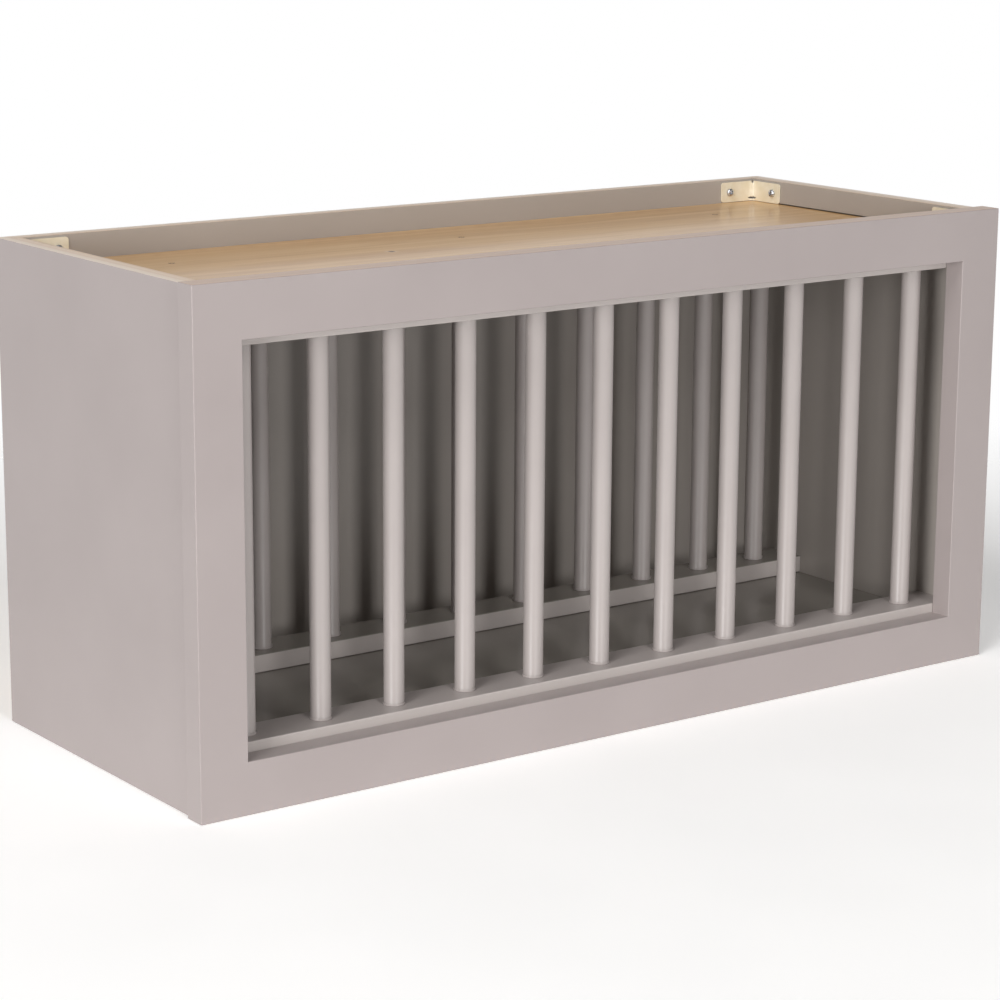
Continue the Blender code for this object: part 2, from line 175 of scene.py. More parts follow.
below = soft_step(height, *HORIZON, FLOOR_GLOW, 0.0)
behind = soft_step(facing, *WALL_SPREAD, 0.0, 1.0)
low_wall = soft_step(height, *WALL_TOP, 1.0, 0.0)
wall = add_node(world, "ShaderNodeMath", {"operation": "MULTIPLY"}, {0: behind, 1: low_wall})
white = add_node(world, "ShaderNodeMath", {"operation": "MAXIMUM"},
                 {0: below, 1: wall.outputs[0]}).outputs[0]
strength = add_node(world, "ShaderNodeMapRange", {"To Min": SURROUND_STRENGTH, "To Max": 1.0},
                    {"Value": white}).outputs["Result"]
camera_sees = add_node(world, "ShaderNodeLightPath").outputs["Is Camera Ray"]
seen = add_node(world, "ShaderNodeMapRange", {"To Max": 1.0},
                {"Value": camera_sees, "To Min": strength}).outputs["Result"]
world.node_tree.links.new(seen, surround.inputs["Strength"])

for lamp_name, azimuth, elevation, distance, size, power in LAMPS:
    lamp_data = bpy.data.lights.new(lamp_name, "AREA")
    lamp_data.shape = "RECTANGLE"
    lamp_data.size, lamp_data.size_y = size
    lamp_data.energy = power
    lamp = bpy.data.objects.new(lamp_name, lamp_data)
    bpy.context.scene.collection.objects.link(lamp)
    tilt = Matrix.Rotation(math.radians(elevation), 3, "X").inverted()
    swing = Matrix.Rotation(math.radians(-azimuth), 3, "Z")
    away = swing @ tilt @ Vector((0.0, -1.0, 0.0))
    lamp.location = AIM + away * distance
    lamp.rotation_euler = away.to_track_quat("Z", "Y").to_euler()
    print(lamp_name, "at", [round(v, 2) for v in lamp.location])

# %% [markdown]
# ## A way to write materials
#
# Every finish is a Principled shader with a few texture nodes in front of it. One function
# adds a node, sets it and links it, so that a material reads like a recipe. Patterns are
# read on Object coordinates, which are metres here, so a noise of scale 1000 has features
# about one millimetre across.

# %% Material helpers
def start_material(name, **values):
    """Make a material with a Principled shader and set the shader's own sockets."""
    material = bpy.data.materials.new(name)
    material.use_nodes = True
    shader = material.node_tree.nodes["Principled BSDF"]
    for socket, value in values.items():
        shader.inputs[socket.replace("_", " ").title()].default_value = value
    return material, shader


def colour_ramp(material, factor, *stops):
    """Turn a factor into colours, each stop being a position and a hex colour."""
    node = add_node(material, "ShaderNodeValToRGB", links={"Fac": factor})
    elements = node.color_ramp.elements
    while len(elements) < len(stops):
        elements.new(0.5)
    for element, (position, hex_colour) in zip(elements, stops):
        element.position = position
        element.color = linear(hex_colour)
    return node.outputs["Color"]


def link_shader(material, shader, socket, output):
    """Link an output to one of the shader's sockets."""
    material.node_tree.links.new(output, shader.inputs[socket])


# %% [markdown]
# ## Satin lacquer
#
# The frame, the sides, the dowels and their rails are maple and birch, sprayed with a warm
# taupe cabinet lacquer. Sprayed lacquer is even in colour, has a satin sheen, and shows a
# faint orange peel of about a millimetre when light grazes it. The frame's upper face takes a
# paler, warmer copy: partly the maple under only the spray's dust, partly painted light on
# the upward face. The front faces of the dowel rails take a paler copy, which is painted
# light. The strips above the top panel take a paler, yellower copy, which is painted warm
# light bounced off the birch. The lining inside is the same kind of paint in grey. It flowed
# out flatter on the floor of the box, so it shines more there. A darker copy of it on that
# floor and on the top of the rear lower rail is painted shade.

# %% Satin lacquer
SATIN = 0.34
DUSTY = 0.4
LINING_SATIN = 0.32
FLOWED_OUT = 0.24
SHEEN_SPREAD = 0.03
CLOUD_SIZE = 90 * MM
PEEL_WIDTH = 1.2 * MM
PEEL_HEIGHT = 0.006 * MM
LINING_PEEL_HEIGHT = 0.005 * MM


def sprayed_finish(name, pale, deep, roughness=SATIN, peel_height=PEEL_HEIGHT):
    """Sprayed pigmented lacquer: faint clouding, and a fine orange peel in the bump."""
    material, shader = start_material(name, roughness=roughness)
    place = add_node(material, "ShaderNodeTexCoord").outputs["Object"]
    clouds = add_node(material, "ShaderNodeTexNoise",
                      {"Scale": 1 / CLOUD_SIZE, "Detail": 3.0, "Roughness": 0.5},
                      {"Vector": place})
    colour = colour_ramp(material, clouds.outputs["Fac"], (0.3, deep), (0.7, pale))
    link_shader(material, shader, "Base Color", colour)
    sheen_spread = add_node(material, "ShaderNodeMapRange",
                            {"To Min": roughness - SHEEN_SPREAD, "To Max": roughness + SHEEN_SPREAD},
                            {"Value": clouds.outputs["Fac"]})
    link_shader(material, shader, "Roughness", sheen_spread.outputs["Result"])
    peel = add_node(material, "ShaderNodeTexNoise",
                    {"Scale": 1 / PEEL_WIDTH, "Detail": 1.0}, {"Vector": place})
    bump = add_node(material, "ShaderNodeBump",
                    {"Strength": 1.0, "Distance": peel_height},
                    {"Height": peel.outputs["Fac"]})
    link_shader(material, shader, "Normal", bump.outputs["Normal"])
    return material


lacquer = sprayed_finish("taupe_satin_lacquer", "#A19795", "#9D9391")
thin_lacquer = sprayed_finish("taupe_satin_lacquer_thin_coat", "#A69E9B", "#A29A97")
# The paler copy for the rails' front faces is painted light.
lit_front_lacquer = sprayed_finish("taupe_satin_lacquer_painted_lit_fronts", "#B6AEAA", "#B2AAA6")
# The paler, yellower copy for the strips above the top panel is painted warm light bounced off the
# birch.
painted_bounce_lacquer = sprayed_finish("taupe_satin_lacquer_painted_birch_bounce", "#A89F97", "#A49B93")
# The paler, warmer copy for the frame's upper face is partly thin spray over maple, partly painted
# light.
dust_and_top_light = sprayed_finish("taupe_overspray_on_maple_with_painted_top_light", "#CAAE9B", "#C5A895", DUSTY)
lining = sprayed_finish("grey_satin_lining", "#9D9690", "#99928C", LINING_SATIN, LINING_PEEL_HEIGHT)
# The darker copy of the lining is painted shade, for the floor of the box and the rear lower rail's
# top.
painted_shade_lining = sprayed_finish("grey_satin_lining_painted_shade", "#8A857E", "#86817A", FLOWED_OUT,
                              LINING_PEEL_HEIGHT)
sprayed = (lacquer, thin_lacquer, lit_front_lacquer, painted_bounce_lacquer, dust_and_top_light, lining, painted_shade_lining)
print("sprayed finishes:", [finish.name for finish in sprayed])

# %% [markdown]
# ## Clear-coated birch
#
# The top panel is birch plywood with a factory clear coat. Rotary-cut birch is pale tan,
# with long soft streaks along the sheet and short dark flecks. The clear coat is smooth, so
# at a low angle it mirrors the cream bracket and the board behind it. The streaks are noise
# that is stretched along X by sampling X at a fraction of the scale of Y. Two dark brown dots
# sit round places on the sheet, as of small dark screws sunk in it, each in a paler ring,
# which is a painted highlight on the countersink's rim. A share above one keeps a mark's core
# fully dark before it fades.

# %% Clear-coated birch
STREAK_LENGTH = 200 * MM
STREAK_WIDTH = 13 * MM
STREAK_WAVER = 0.9
FLECK_LENGTH = 14 * MM
FLECK_WIDTH = 1.1 * MM
GRAIN_DEPTH = 0.02 * MM
FLECK_RANGE = (0.62, 0.8)
FLECK_SHARE = 0.35
RING_HIGHLIGHT_REACH = 2
RING_HIGHLIGHT_SHARE = 0.6
CORE_SHARE = 1.6
COUNTERSINK_MARKS = [(-94.0 * MM, 38.5 * MM, 3.6 * MM), (-82.8 * MM, -15.8 * MM, 1.8 * MM)]


def stretched_noise(material, place, length, width, detail, waver=0.0):
    """Noise with features of one length along X and another across it."""
    stretch = add_node(material, "ShaderNodeMapping",
                       {"Scale": (1 / length, 1 / width, 1 / width)}, {"Vector": place})
    return add_node(material, "ShaderNodeTexNoise",
                    {"Scale": 1.0, "Detail": detail, "Distortion": waver},
                    {"Vector": stretch.outputs["Vector"]}).outputs["Fac"]


def clear_coated_birch():
    """Birch veneer under a smooth clear coat."""
    material, shader = start_material("clear_coated_birch", roughness=0.55,
                                      coat_weight=0.5, coat_roughness=0.14)
    place = add_node(material, "ShaderNodeTexCoord").outputs["Object"]
    streaks = stretched_noise(material, place, STREAK_LENGTH, STREAK_WIDTH, 4.0, STREAK_WAVER)
    wood = colour_ramp(material, streaks, (0.25, "#CDA06D"), (0.5, "#DDB27C"), (0.75, "#E7BF8A"))
    flecks = stretched_noise(material, place, FLECK_LENGTH, FLECK_WIDTH, 2.0)
    fleck_mask = add_node(material, "ShaderNodeMapRange",
                          {"From Min": FLECK_RANGE[0], "From Max": FLECK_RANGE[1],
                           "To Max": FLECK_SHARE}, {"Value": flecks})
    flecked = add_node(material, "ShaderNodeMix",
                       {"data_type": "RGBA", 7: linear("#B5875A")},
                       {0: fleck_mask.outputs["Result"], 6: wood})
    wood = flecked.outputs[2]
    for mark_x, mark_y, radius in COUNTERSINK_MARKS:
        away = add_node(material, "ShaderNodeVectorMath",
                        {"operation": "DISTANCE", 1: (mark_x, mark_y, top_high.z)}, {0: place})
        # The pale ring is a painted highlight on the countersink's rim.
        rings = ((RING_HIGHLIGHT_REACH * radius, RING_HIGHLIGHT_SHARE, "#EED9B8"), (radius, CORE_SHARE, "#4E2F1A"))
        for reach, share, tone in rings:
            mark_fade = add_node(material, "ShaderNodeMapRange",
                            {"From Max": reach, "To Min": share, "To Max": 0.0},
                            {"Value": away.outputs["Value"]})
            wood = add_node(material, "ShaderNodeMix", {"data_type": "RGBA", 7: linear(tone)},
                            {0: mark_fade.outputs["Result"], 6: wood}).outputs[2]
    link_shader(material, shader, "Base Color", wood)
    bump = add_node(material, "ShaderNodeBump", {"Strength": 0.3, "Distance": GRAIN_DEPTH},
                    {"Height": flecks})
    link_shader(material, shader, "Normal", bump.outputs["Normal"])
    return material


birch = clear_coated_birch()
print("veneer:", birch.name)

# %% [markdown]
# ## Bare plywood edges
#
# The upper edges of the sides and of the back board were never painted, so the plies show.
# The edge is pale, a little pinker along its middle, where the core plies meet, and darker
# towards the inside, where the saw left it rough. Fine lines mark the single plies. Depth
# is counted from the sheet's outer face: along X on the sides, along Y on the back board.

# %% Plywood edges
FIBRE_SIZE = 1.6 * MM
SAW_DEPTH = 0.05 * MM


def plywood_edge(name, axis, outer_face, thickness):
    """Broad bands and fine plies, counted from the sheet's outer face along one axis."""
    material, shader = start_material(name, roughness=0.42)
    place = add_node(material, "ShaderNodeTexCoord").outputs["Object"]
    parts = add_node(material, "ShaderNodeSeparateXYZ", links={0: place})
    across = add_node(material, "ShaderNodeMath", {"operation": "ABSOLUTE"},
                      {0: parts.outputs[axis]})
    depth = add_node(material, "ShaderNodeMath", {"operation": "SUBTRACT", 0: outer_face},
                     {1: across.outputs[0]})
    share = add_node(material, "ShaderNodeMath", {"operation": "DIVIDE", 1: thickness},
                     {0: depth.outputs[0]})
    bands = colour_ramp(material, share.outputs[0], (0.0, "#F1E0CF"), (0.36, "#ECD8C4"),
                        (0.52, "#E0C5AD"), (0.7, "#E9D1B9"), (1.0, "#D3B291"))
    plies = add_node(material, "ShaderNodeMath",
                     {"operation": "PINGPONG", 1: PLY_LAYER}, {0: depth.outputs[0]})
    fibres = add_node(material, "ShaderNodeTexNoise", {"Scale": 1 / FIBRE_SIZE, "Detail": 3.0},
                      {"Vector": place})
    lines = add_node(material, "ShaderNodeMapRange",
                     {"From Max": PLY_LAYER, "To Min": 0.0, "To Max": 0.3},
                     {"Value": plies.outputs[0]})
    worn = add_node(material, "ShaderNodeMath", {"operation": "MULTIPLY"},
                    {0: lines.outputs["Result"], 1: fibres.outputs["Fac"]})
    lined = add_node(material, "ShaderNodeMix", {"data_type": "RGBA", 7: linear("#A98A6C")},
                     {0: worn.outputs[0], 6: bands})
    link_shader(material, shader, "Base Color", lined.outputs[2])
    bump = add_node(material, "ShaderNodeBump", {"Strength": 0.5, "Distance": SAW_DEPTH},
                    {"Height": worn.outputs[0]})
    link_shader(material, shader, "Normal", bump.outputs["Normal"])
    return material


side_edge = plywood_edge("birch_ply_edge_of_sides", "X", side_high.x, side_high.x - side_low.x)
board_edge = plywood_edge("birch_ply_edge_of_board", "Y", board_high.y, board_high.y - board_low.y)
print("ply edges:", side_edge.name, board_edge.name)

# %% [markdown]
# ## Enamel and zinc
#
# The corner brackets are folded steel with a glossy cream enamel. Their screws are
# zinc-plated: a pale bluish metal, brushed a little by the driver. The flat heads in the
# panels are phosphated, a dull dark brown coat that hardly mirrors anything, so they read as
# small brown dots in the birch.

# %% Enamel and zinc
RUN_SIZE = 9 * MM
RUN_HEIGHT = 0.03 * MM
SCRATCH_SIZE = 0.8 * MM


def cream_enamel():
    """Glossy baked enamel, faintly uneven where it ran."""
    material, shader = start_material("cream_baked_enamel", roughness=0.22,
                                      coat_weight=0.4, coat_roughness=0.08)
    place = add_node(material, "ShaderNodeTexCoord").outputs["Object"]
    runs = add_node(material, "ShaderNodeTexNoise", {"Scale": 1 / RUN_SIZE, "Detail": 2.0},
                    {"Vector": place})
    colour = colour_ramp(material, runs.outputs["Fac"], (0.3, "#DFD3B7"), (0.7, "#E7DDC8"))
    link_shader(material, shader, "Base Color", colour)
    bump = add_node(material, "ShaderNodeBump", {"Strength": 0.4, "Distance": RUN_HEIGHT},
                    {"Height": runs.outputs["Fac"]})
    link_shader(material, shader, "Normal", bump.outputs["Normal"])
    return material


def coated_steel(name, dull, bright, metallic, smooth, rough):
    """Steel with a coat that is scratched finely, dull in some places and bright in others."""
    material, shader = start_material(name, metallic=metallic)
    place = add_node(material, "ShaderNodeTexCoord").outputs["Object"]
    wear = add_node(material, "ShaderNodeTexNoise", {"Scale": 1 / SCRATCH_SIZE, "Detail": 4.0},
                    {"Vector": place})
    colour = colour_ramp(material, wear.outputs["Fac"], (0.3, dull), (0.7, bright))
    link_shader(material, shader, "Base Color", colour)
    spread = add_node(material, "ShaderNodeMapRange", {"To Min": smooth, "To Max": rough},
                      {"Value": wear.outputs["Fac"]})
    link_shader(material, shader, "Roughness", spread.outputs["Result"])
    return material


enamel = cream_enamel()
zinc = coated_steel("bright_zinc_plate", "#BCC1CB", "#DFE2E8",
                    metallic=1.0, smooth=0.2, rough=0.42)
phosphate = coated_steel("brown_phosphate_coat", "#33211A", "#4E3226",
                         metallic=0.1, smooth=0.6, rough=0.75)

# %% [markdown]
# ## The floor
#
# The floor is a sheet of pale matt studio board, lit from below a little, so that only a
# faint shadow stays on it. Its edge fades out where the surroundings take over, so no line
# crosses the picture.

# %% Floor
FLOOR_SIZE = 8.0
FLOOR_FADE = (0.55, 1.3)
FLOOR_DROP = 0.2 * MM


def matt_floor():
    """Pale studio board with a barely seen mottle and a soft outer edge."""
    material, shader = start_material("pale_matt_board", roughness=0.8, emission_strength=0.25)
    place = add_node(material, "ShaderNodeTexCoord").outputs["Object"]
    mottle = add_node(material, "ShaderNodeTexNoise", {"Scale": 6.0, "Detail": 2.0},
                      {"Vector": place})
    colour = colour_ramp(material, mottle.outputs["Fac"], (0.3, "#F6F5F4"), (0.7, "#F9F8F7"))
    link_shader(material, shader, "Base Color", colour)
    link_shader(material, shader, "Emission Color", colour)
    distance = add_node(material, "ShaderNodeVectorMath", {"operation": "LENGTH"}, {0: place})
    fade = add_node(material, "ShaderNodeMapRange",
                    {"interpolation_type": "SMOOTHSTEP", "From Min": FLOOR_FADE[0],
                     "From Max": FLOOR_FADE[1], "To Min": 1.0, "To Max": 0.0},
                    {"Value": distance.outputs["Value"]})
    link_shader(material, shader, "Alpha", fade.outputs["Result"])
    return material


bpy.ops.object.select_all(action="DESELECT")
bpy.ops.mesh.primitive_plane_add(size=FLOOR_SIZE, location=(0, 0, -FLOOR_DROP))
floor = bpy.context.object
floor.name = "studio_floor"
bpy.ops.object.transform_apply(location=True)
floor.data.materials.append(matt_floor())
print("floor:", floor.data.materials[0].name)

# %% [markdown]
# ## Working on one piece at a time
#
# An operator acts on everything that is selected, and a loaded scene starts with all of
# its pieces selected. So each step deselects first, and then selects what it needs by place
# or by direction. These helpers add a block of the right size, pick parts of it in edit
# mode, round its arrises, hand the finished piece over, and give single faces a finish of
# their own. FLAT_ON is for tests that want a flat face and next to nothing of the rounded
# arris beside it. LEANING takes in about half of the arris, and LEAST_LEAN all of it.

# %% Modelling helpers
SHARP = math.radians(60)
SMOOTH_UNDER = math.radians(40)
FLAT_ON = 0.95
LEANING = 0.5
LEAST_LEAN = 0.0001


def add_block(low, high):
    """Add a block that fills the space between two corners."""
    low = Vector(low)
    high = Vector(high)
    bpy.ops.object.select_all(action="DESELECT")
    bpy.ops.mesh.primitive_cube_add(size=1, location=(low + high) / 2)
    block = bpy.context.object
    block.scale = high - low
    bpy.ops.object.transform_apply(location=True, rotation=True, scale=True)
    return block


def open_for_edit(piece):
    """Make one piece active and enter edit mode with nothing picked."""
    bpy.ops.object.select_all(action="DESELECT")
    bpy.context.view_layer.objects.active = piece
    piece.select_set(True)
    bpy.ops.object.mode_set(mode="EDIT")
    bpy.ops.mesh.select_all(action="DESELECT")


def pick(piece, kind, test):
    """In edit mode, pick the faces, edges or vertices that pass a test."""
    bpy.ops.mesh.select_mode(type=kind)
    bpy.ops.mesh.select_all(action="DESELECT")
    shape = bmesh.from_edit_mesh(piece.data)
    for item in {"FACE": shape.faces, "EDGE": shape.edges, "VERT": shape.verts}[kind]:
        if test(item):
            item.select_set(True)
    bmesh.update_edit_mesh(piece.data)


def is_sharp(edge):
    """True for an edge where two faces meet at a clear corner."""
    return edge.is_manifold and edge.calc_face_angle() > SHARP


def round_arrises(piece, width, segments):
    """Bevel every sharp edge, and keep the flats looking flat."""
    open_for_edit(piece)
    pick(piece, "EDGE", is_sharp)
    bpy.ops.mesh.bevel(offset=width, segments=segments, profile=0.5, affect="EDGES")
    bpy.ops.object.mode_set(mode="OBJECT")
    bpy.ops.object.shade_smooth_by_angle(angle=SMOOTH_UNDER)
    piece.modifiers.new("flat_faces", "WEIGHTED_NORMAL").keep_sharp = True
    bpy.ops.object.modifier_apply(modifier="flat_faces")


def cut_away(piece, cutter):
    """Cut a shape out of a piece and throw the cutter away."""
    cut = piece.modifiers.new("cut", "BOOLEAN")
    cut.operation = "DIFFERENCE"
    cut.solver = "EXACT"
    cut.object = cutter
    bpy.ops.object.select_all(action="DESELECT")
    bpy.context.view_layer.objects.active = piece
    piece.select_set(True)
    bpy.ops.object.modifier_apply(modifier="cut")
    bpy.data.objects.remove(cutter, do_unlink=True)


def hand_over(piece, name, slot, materials, *nodes):
    """Name a finished piece, give it its materials, and let it stand for its nodes."""
    piece.name = name
    piece.data.name = name
    for material in materials:
        piece.data.materials.append(material)
    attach(piece, "root")
    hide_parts(*nodes)
    return piece


def finish_faces(piece, rules):
    """Give the faces that pass each rule the material with the rule's number."""
    open_for_edit(piece)
    for number, rule in enumerate(rules, start=1):
        pick(piece, "FACE", rule)
        piece.active_material_index = number
        bpy.ops.object.material_slot_assign()
    bpy.ops.object.mode_set(mode="OBJECT")


def faces_up(face):
    """True for a face that looks upwards."""
    return face.normal.z > LEANING


# %% [markdown]
# ## The face frame
#
# On the real frame the stiles and rails are glued, sanded flush and then sprayed, so the
# lacquer closes the joints and the frame reads as one skin. It starts as one block. Four
# cuts mark where the opening is, the two faces inside them are bridged into a hole, and
# every arris is then sanded round.

# %% Face frame
def make_face_frame():
    """One lacquered frame with its opening bridged through a block."""
    piece = add_block((stile_low.x, stile_low.y, 0), (-stile_low.x, stile_high.y, stile_high.z))
    opening_x = -stile_high.x
    lines = [
        ((opening_x, 0, 0), (1, 0, 0)),
        ((-opening_x, 0, 0), (1, 0, 0)),
        ((0, 0, bottom_member_high.z), (0, 0, 1)),
        ((0, 0, top_member_low.z), (0, 0, 1)),
    ]
    open_for_edit(piece)
    for place, normal in lines:
        bpy.ops.mesh.select_all(action="SELECT")
        bpy.ops.mesh.bisect(plane_co=place, plane_no=normal)

    def in_opening(face):
        """True for the front and the back face between the four cuts."""
        centre = face.calc_center_median()
        inside = abs(centre.x) < opening_x
        level = bottom_member_high.z < centre.z < top_member_low.z
        return inside and level and abs(face.normal.y) > FLAT_ON

    pick(piece, "FACE", in_opening)
    bpy.ops.mesh.bridge_edge_loops()
    bpy.ops.object.mode_set(mode="OBJECT")
    round_arrises(piece, FRAME_ARRIS, segments=3)
    members = ("left_stile", "right_stile", "frame_top_rail", "frame_bottom_rail")

    def flat_on_top(face):
        """True for the frame's upper face, with a warmer finish that is partly thin spray over
        maple, partly painted light.
        """
        return face.normal.z > FLAT_ON and face.calc_center_median().z > top_member_low.z

    hand_over(piece, "lacquered_face_frame", "painted_wood", [lacquer, dust_and_top_light], *members)
    finish_faces(piece, [flat_on_top])
    return piece


face_frame = make_face_frame()
print(face_frame.name, len(face_frame.data.polygons), "faces")

# %% [markdown]
# ## Sheet pieces
#
# Sides, shelves and backs are sawn from sheet. What makes them believable is that each
# face has its own finish: lacquer outside, lining inside, bare plies where the saw went
# through and nobody painted. Each piece is a block with lightly sanded arrises. A rule says
# which finish each face takes, and the faces are given their finish in edit mode.

# %% Sheet helper
def sheet_piece(name, slot, low, high, base, finishes, node, cutters=(), line=None):
    """A sawn sheet with a base finish and other finishes on the faces that rules pick."""
    piece = add_block(low, high)
    for cutter in cutters:
        cut_away(piece, cutter)
    if line:
        open_for_edit(piece)
        bpy.ops.mesh.select_all(action="SELECT")
        bpy.ops.mesh.bisect(plane_co=(0, 0, line), plane_no=(0, 0, 1))
        bpy.ops.object.mode_set(mode="OBJECT")
    round_arrises(piece, SHEET_ARRIS, segments=2)
    hand_over(piece, name, slot, [base] + [finish for finish, _ in finishes], node)
    finish_faces(piece, [rule for _, rule in finishes])
    return piece


def faces_back(face):
    """True for a face that looks towards the wall."""
    return face.normal.y > LEANING


def faces_front(face):
    """True for a face that looks to the front."""
    return face.normal.y < -LEANING


def faces_middle(face):
    """True for a face that looks towards the middle of the rack, left or right."""
    return face.normal.x * face.calc_center_median().x < -LEAST_LEAN


# %% [markdown]
# ### The sides
#
# Each side is rabbeted at the back for the back board, which shows as a joint line on the
# top edge. The housing for the top panel was cut a little too wide, so a dark slit stays
# open above the panel, wider at the front. The outer face is lacquered. The inner face has
# the lining up to the top panel, and lacquer above it, so a cut across the sheet behind
# the top panel parts the two.

# %% Sides
FINISH_LINE = (top_low.z + top_high.z) / 2
CUTTER_OVERRUN = 5 * MM
SLIT_DEPTH = 4 * MM
SLIT_HEIGHT = 0.8 * MM
SLIT_GROWTH = 0.6 * MM


def housing_slit(side, inner_x):
    """A cutter for the slit above the top panel, taller towards the front."""
    ends = sorted((inner_x - side * SLIT_DEPTH, inner_x + side * SLIT_DEPTH))
    cutter = add_block((ends[0], side_low.y - CUTTER_OVERRUN, top_high.z),
                       (ends[1], board_low.y, top_high.z + SLIT_HEIGHT))
    open_for_edit(cutter)
    pick(cutter, "VERT", lambda vert: vert.co.y < 0 and vert.co.z > top_high.z + SLIT_HEIGHT / 2)
    bpy.ops.transform.translate(value=(0, 0, SLIT_GROWTH))
    bpy.ops.object.mode_set(mode="OBJECT")
    return cutter


def make_side(side, name, node):
    """One side panel, with its rabbet, its lining and its bare edges."""
    low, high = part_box(node)
    rabbet_x = side * board_high.x
    inner_x = low.x if side > 0 else high.x
    stray_x = inner_x - side * CUTTER_OVERRUN
    rabbet = ((min(rabbet_x, stray_x), board_low.y, -CUTTER_OVERRUN),
              (max(rabbet_x, stray_x), high.y + CUTTER_OVERRUN, high.z + CUTTER_OVERRUN))
    cutters = [add_block(*rabbet), housing_slit(side, inner_x)]

    def is_lined(face):
        """True for the inner face below the top panel."""
        return faces_middle(face) and face.calc_center_median().z < FINISH_LINE

    def is_above(face):
        """True for the inner face above the top panel."""
        return faces_middle(face) and face.calc_center_median().z > FINISH_LINE

    def is_top_edge(face):
        """True for the bare upper edge."""
        return faces_up(face) and face.calc_center_median().z > high.z - SHEET_ARRIS

    # Above the top panel the paler, yellower lacquer is painted warm light bounced off the birch.
    finishes = [(lining, is_lined), (painted_bounce_lacquer, is_above), (side_edge, faces_back),
                (side_edge, is_top_edge)]
    return sheet_piece(name, "painted_wood", low, high, lacquer, finishes, node, cutters,
                       FINISH_LINE)


sides = [
    make_side(-1, "lacquered_left_side", "left_side_panel"),
    make_side(1, "lacquered_right_side", "right_side_panel"),
]
print([piece.name for piece in sides])

# %% [markdown]
# ### Shelves and backs
#
# The top panel is lined below and clear-coated birch above, and its ends go into the
# housings. The front of the back board is lined below the top panel and lacquered above it,
# and its other side is bare.

# %% Shelves and backs
INNER_X = side_low.x


def between_sides(node, gap):
    """The box of a sheet, ending short of the side panels' inner faces, or inside them."""
    low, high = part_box(node)
    return (-INNER_X + gap, low.y, low.z), (INNER_X - gap, high.y, high.z)


top_panel = sheet_piece("birch_top_panel", "bare_ply", *between_sides("top_panel", -SLIT_DEPTH),
                        lining, [(birch, faces_up)], "top_panel")
# The darker lining on the upward face is painted shade on the floor of the box.
bottom_panel = sheet_piece("lined_bottom_panel", "dark_lining", *between_sides("bottom_panel", 0),
                           lacquer, [(painted_shade_lining, faces_up)], "bottom_panel")


def is_board_lining(face):
    """True for the front of the back board below the top panel."""
    return faces_front(face) and face.calc_center_median().z < FINISH_LINE


# The board's front above the top panel takes the paler, yellower lacquer, painted warm light bounced
# off the birch.
back_board = sheet_piece("lined_back_board", "dark_lining", board_low, board_high, painted_bounce_lacquer,
                         [(lining, is_board_lining), (birch, faces_back), (board_edge, faces_up)],
                         "back_board", line=FINISH_LINE)
print("sheets:", top_panel.name, bottom_panel.name, back_board.name)

# %% [markdown]
# ## Dowel rails
#
# Four planed sticks hold the dowels. They are lacquered with the dowels in place, so the
# bores are closed by paint. A stick is a block with rounder arrises than the sheets have.
# The top of the rear lower rail takes the darker copy of the lining, which is painted shade.

# %% Dowel rails
def make_dowel_rail(node):
    """A planed and lacquered stick."""
    low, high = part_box(node)
    low.x = -INNER_X
    high.x = INNER_X
    piece = add_block(low, high)
    round_arrises(piece, STICK_ARRIS, segments=3)
    # The paler lacquer on the front faces is painted light.
    finishes = [thin_lacquer, lit_front_lacquer]
    rules = [faces_front]
    # The darker lining on the rear lower rail's top is painted shade.
    if node == "rear_lower_dowel_rail":
        finishes.append(painted_shade_lining)
        rules.append(faces_up)
    hand_over(piece, "lacquered_" + node, "painted_wood", finishes, node)
    finish_faces(piece, rules)
    return piece


rails = [make_dowel_rail(f"{row}_{level}_dowel_rail")
         for row in ("front", "rear") for level in ("lower", "upper")]
lower_rail_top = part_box("front_lower_dowel_rail")[1].z
upper_rail_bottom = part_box("front_upper_dowel_rail")[0].z
print(len(rails), "rails, clear height", round(upper_rail_bottom - lower_rail_top, 4))

# %% [markdown]
# ## Dowels
#
# A dowel is a turned stick. Where it enters a rail, lacquer gathers into a tiny fillet. So
# it starts as a cylinder that ends just short of the rails. Each end is then extruded in
# three short steps, a little wider each time, and once more into the rail. One dowel is
# modelled and copied, each copy with its own mesh.

# %% Dowels
DOWEL_SIDES = 48
FILLET = 0.35 * MM
FILLET_STEPS = 3
ROOT = 1.5 * MM


def extrude_end(piece, direction, distance, growth):
    """Extrude the end face of an upright stick and widen it about its own axis."""
    pick(piece, "FACE", lambda face: face.normal.z * direction > FLAT_ON)
    bpy.ops.mesh.extrude_region_move(TRANSFORM_OT_translate={"value": (0, 0, direction * distance)})
    bpy.ops.transform.resize(value=(growth, growth, 1), center_override=(0, 0, 0))


def model_dowel(radius):
    """One dowel on the Z axis, with a paint fillet at each end."""
    low = lower_rail_top + FILLET
    high = upper_rail_bottom - FILLET
    bpy.ops.object.select_all(action="DESELECT")
    bpy.ops.mesh.primitive_cylinder_add(vertices=DOWEL_SIDES, radius=radius,
                                        depth=high - low, location=(0, 0, (low + high) / 2))
    piece = bpy.context.object
    bpy.ops.object.transform_apply(location=True, rotation=True, scale=True)
    open_for_edit(piece)
    for direction in (-1, 1):
        reach = radius
        for step in range(1, FILLET_STEPS + 1):
            angle = math.radians(90) * step / FILLET_STEPS
            wider = radius + FILLET * (1 - math.cos(angle))
            rise = FILLET * (math.sin(angle) - math.sin(angle - math.radians(90) / FILLET_STEPS))
            extrude_end(piece, direction, rise, wider / reach)
            reach = wider
        extrude_end(piece, direction, ROOT, 1.0)
    bpy.ops.object.mode_set(mode="OBJECT")
    bpy.ops.object.shade_smooth_by_angle(angle=SMOOTH_UNDER)
    return piece


